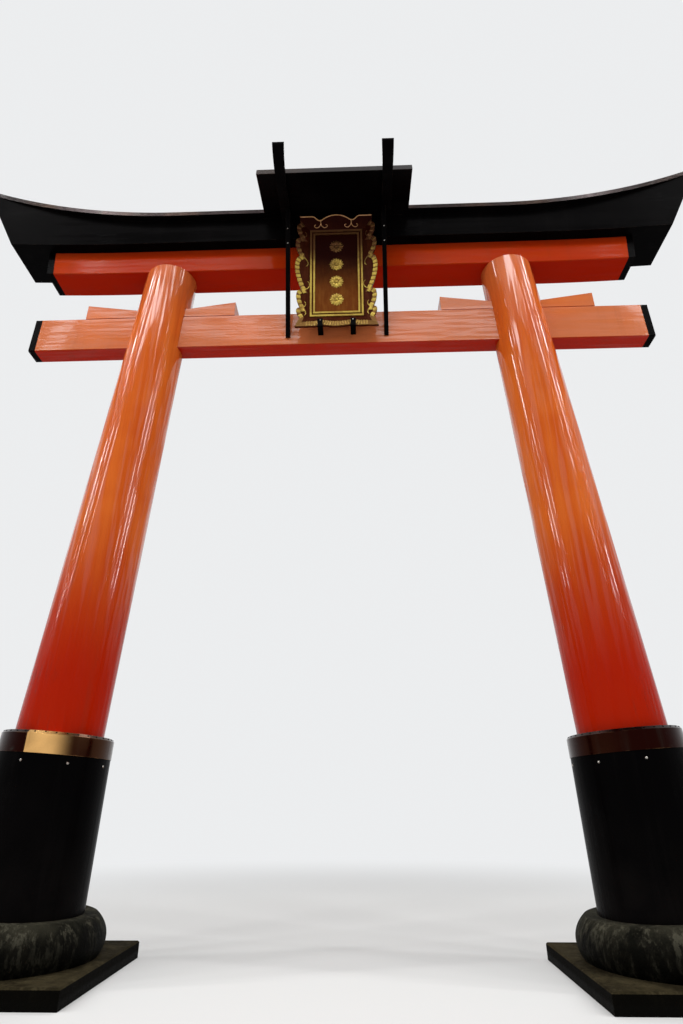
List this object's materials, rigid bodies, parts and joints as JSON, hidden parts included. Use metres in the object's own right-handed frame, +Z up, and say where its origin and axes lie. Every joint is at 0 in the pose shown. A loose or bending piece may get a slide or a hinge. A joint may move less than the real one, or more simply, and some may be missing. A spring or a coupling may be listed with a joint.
{
  "type": "torii gate",
  "caption": "Timber torii gate with two leaning pillars on stone bases, wedged tie beam, upswept double lintel and a hooded plaque.",
  "frame": {"origin": "on the ground under the middle of the gate's bounding box; the pillars' plane is 0.1971 m behind it, at +Y, because the hood over the plaque reaches forward", "axes": "+X along the beams, to the right seen from the front; -Y is the front, with the plaque; +Z up"},
  "size_m": [6.1634, 1.4252, 5.783],
  "materials": {
    "vermilion": "glossy vermilion paint on timber",
    "black_lacquer": "black paint on timber, satin",
    "sleeve_black": "black paint on the foot sleeves, gloss",
    "weathered_copper": "browned copper sheet",
    "base_granite": "dressed granite, weathered",
    "slab_stone": "sawn stone, weathered",
    "plaque_lacquer": "dark red-brown lacquer",
    "gilt": "gold leaf on a raised border",
    "black_iron": "black ironwork"
  },
  "bodies": {
    "root": {"base_stone_left": "base_granite", "base_stone_right": "base_granite", "centre_strut": "vermilion", "eave_edge_back": "weathered_copper", "eave_edge_front": "weathered_copper", "hood_arm_left": "black_lacquer", "hood_arm_right": "black_lacquer", "hood_brace_left": "black_lacquer", "hood_brace_right": "black_lacquer", "hood_edge": "weathered_copper", "hood_roof": "black_lacquer", "lower_lintel": "vermilion", "lower_lintel_cap_left": "black_lacquer", "lower_lintel_cap_right": "black_lacquer", "pillar_left": "vermilion", "pillar_right": "vermilion", "plaque_border": "gilt", "plaque_crest": "plaque_lacquer", "plaque_frame_left": "plaque_lacquer", "plaque_frame_right": "plaque_lacquer", "plaque_hook_left": "black_iron", "plaque_hook_right": "black_iron", "plaque_panel": "plaque_lacquer", "plaque_rail": "plaque_lacquer", "plaque_stay_left": "black_iron", "plaque_stay_right": "black_iron", "roof": "black_lacquer", "slab_left": "slab_stone", "slab_right": "slab_stone", "sleeve_band_left": "weathered_copper", "sleeve_band_right": "weathered_copper", "sleeve_left": "sleeve_black", "sleeve_right": "sleeve_black", "tie_beam": "vermilion", "tie_beam_cap_left": "black_lacquer", "tie_beam_cap_right": "black_lacquer", "upper_lintel": "black_lacquer", "wedge_left_inner": "vermilion", "wedge_left_outer": "vermilion", "wedge_right_inner": "vermilion", "wedge_right_outer": "vermilion"}
  },
  "joints": []
}
